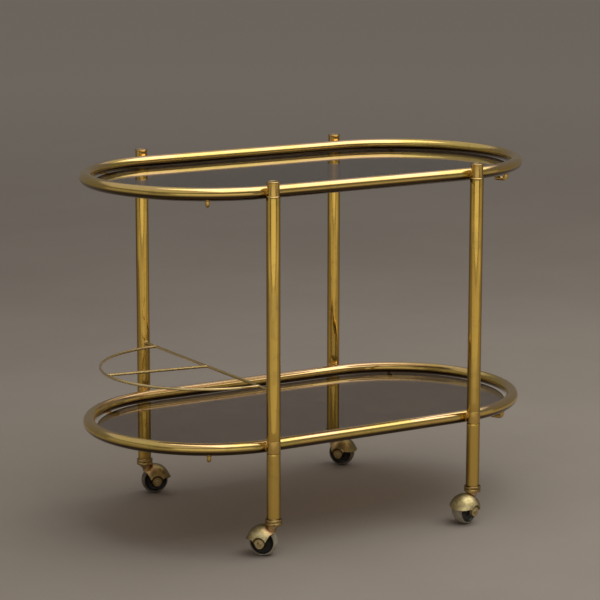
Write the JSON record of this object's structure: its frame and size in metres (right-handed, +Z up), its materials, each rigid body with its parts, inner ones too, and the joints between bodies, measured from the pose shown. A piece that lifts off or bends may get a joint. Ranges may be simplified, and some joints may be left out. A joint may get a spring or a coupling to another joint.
{
  "type": "oval two-tier serving trolley",
  "caption": "Oval brass-tube serving trolley with two smoked glass shelves, a rod bottle holder at one end and ball casters.",
  "frame": {"origin": "on the floor, under the centre between the four posts", "axes": "+X along the trolley, away from the bottle holder; +Y to its back; +Z up"},
  "size_m": [0.775, 0.4814, 0.592],
  "materials": {
    "rail_brass": "polished and lacquered, with a warm worn patina",
    "post_brass": "polished, lightly mottled with age, duller on the legs",
    "turned_brass": "turned and polished, darker at the seams",
    "rod_brass": "drawn rod, polished",
    "smoked_glass": "smoked float glass with polished edges",
    "clear_pad": "clear soft vinyl",
    "caster_brass": "satin brass-plated pressing, dulled with age",
    "caster_steel": "plated steel, dull",
    "wheel_cover": "moulded grey-beige cover, scuffed",
    "tyre_rubber": "aged grey-beige rubber, dusty",
    "wheel_core": "black moulded plastic, worn"
  },
  "bodies": {
    "frame": {"top_rail": "rail_brass", "bottom_rail": "rail_brass", "top_glass": "smoked_glass", "bottom_glass": "smoked_glass", "top_pegs": "turned_brass", "bottom_pegs": "turned_brass", "top_pads": "clear_pad", "bottom_pads": "clear_pad", "holder_rod": "rod_brass", "holder_hoop": "rod_brass", "holder_divider": "rod_brass", "post_fl": "post_brass", "post_fr": "post_brass", "post_bl": "post_brass", "post_br": "post_brass", "cap_fl": "turned_brass", "cap_fr": "turned_brass", "cap_bl": "turned_brass", "cap_br": "turned_brass", "knuckle_fl": "turned_brass", "knuckle_fr": "turned_brass", "knuckle_bl": "turned_brass", "knuckle_br": "turned_brass", "leg_fl": "post_brass", "leg_fr": "post_brass", "leg_bl": "post_brass", "leg_br": "post_brass", "collar_fl": "caster_brass", "collar_fr": "caster_brass", "collar_bl": "caster_brass", "collar_br": "caster_brass"},
    "swivel_fl": {"hood_fl": "caster_brass", "stem_fl": "caster_steel", "axle_fl": "caster_steel"},
    "roll_fl": {"hub_fl": "wheel_core", "dish_fl": "wheel_cover", "tyre_fl": "tyre_rubber"},
    "swivel_fr": {"hood_fr": "caster_brass", "stem_fr": "caster_steel", "axle_fr": "caster_steel"},
    "roll_fr": {"hub_fr": "wheel_core", "dish_fr": "wheel_cover", "tyre_fr": "tyre_rubber"},
    "swivel_bl": {"hood_bl": "caster_brass", "stem_bl": "caster_steel", "axle_bl": "caster_steel"},
    "roll_bl": {"hub_bl": "wheel_core", "dish_bl": "wheel_cover", "tyre_bl": "tyre_rubber"},
    "swivel_br": {"hood_br": "caster_brass", "stem_br": "caster_steel", "axle_br": "caster_steel"},
    "roll_br": {"hub_br": "wheel_core", "dish_br": "wheel_cover", "tyre_br": "tyre_rubber"}
  },
  "joints": [
    {"name": "swivel_fl", "type": "hinge", "parent": "frame", "child": "swivel_fl", "pos_m": [-0.1895, -0.215, 0.05], "axis": [0, 0, 1], "continuous": true},
    {"name": "roll_fl", "type": "hinge", "parent": "swivel_fl", "child": "roll_fl", "pos_m": [-0.19966, -0.20133, 0.0225], "axis": [-0.766, -0.6428, 0], "continuous": true},
    {"name": "swivel_fr", "type": "hinge", "parent": "frame", "child": "swivel_fr", "pos_m": [0.1895, -0.215, 0.05], "axis": [0, 0, 1], "continuous": true},
    {"name": "roll_fr", "type": "hinge", "parent": "swivel_fr", "child": "roll_fr", "pos_m": [0.17288, -0.21872, 0.0225], "axis": [0.2756, -0.9613, 0], "continuous": true},
    {"name": "swivel_bl", "type": "hinge", "parent": "frame", "child": "swivel_bl", "pos_m": [-0.1895, 0.215, 0.05], "axis": [0, 0, 1], "continuous": true},
    {"name": "roll_bl", "type": "hinge", "parent": "swivel_bl", "child": "roll_bl", "pos_m": [-0.17282, 0.21157, 0.0225], "axis": [-0.2588, -0.9659, 0], "continuous": true},
    {"name": "swivel_br", "type": "hinge", "parent": "frame", "child": "swivel_br", "pos_m": [0.1895, 0.215, 0.05], "axis": [0, 0, 1], "continuous": true},
    {"name": "roll_br", "type": "hinge", "parent": "swivel_br", "child": "roll_br", "pos_m": [0.20053, 0.20203, 0.0225], "axis": [-0.7986, -0.6018, 0], "continuous": true}
  ]
}
